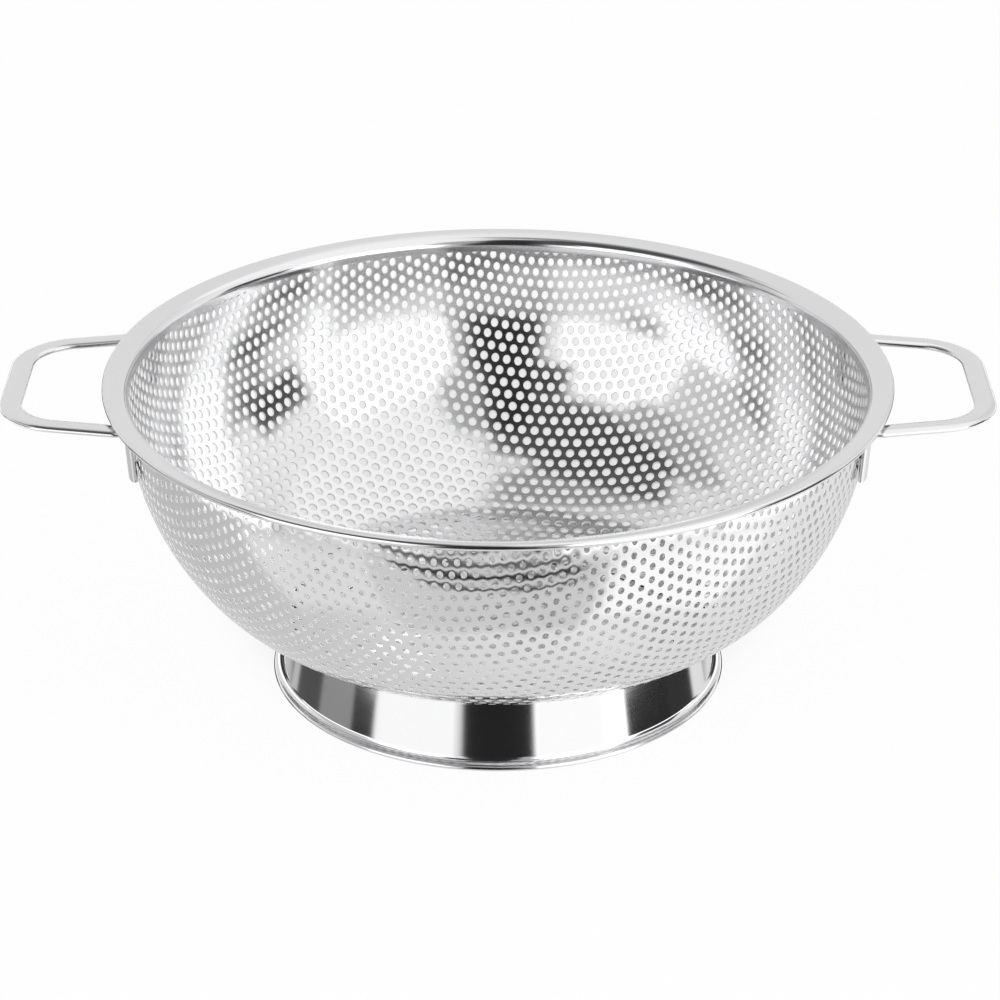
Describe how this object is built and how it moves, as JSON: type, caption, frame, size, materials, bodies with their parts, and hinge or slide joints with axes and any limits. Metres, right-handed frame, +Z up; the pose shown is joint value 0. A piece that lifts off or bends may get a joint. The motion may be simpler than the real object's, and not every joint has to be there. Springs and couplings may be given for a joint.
{
  "type": "colander",
  "caption": "Round perforated steel colander with a flat folded rim, two level side handles of flattened wire and a flared foot ring, for draining and rinsing food.",
  "frame": {"origin": "centre of the foot ring, on the surface that the colander stands on", "axes": "+Z up along the bowl's axis, X through the two handles"},
  "size_m": [0.3562, 0.285, 0.1183],
  "materials": {
    "bowl_steel": "satin outside, polished inside",
    "rim_steel": "fine satin",
    "handle_steel": "fine satin",
    "foot_steel": "mirror polished"
  },
  "bodies": {
    "root": {"bowl": "bowl_steel", "rim_band": "rim_steel", "left_handle": "handle_steel", "right_handle": "handle_steel", "foot_ring": "foot_steel"}
  },
  "joints": []
}
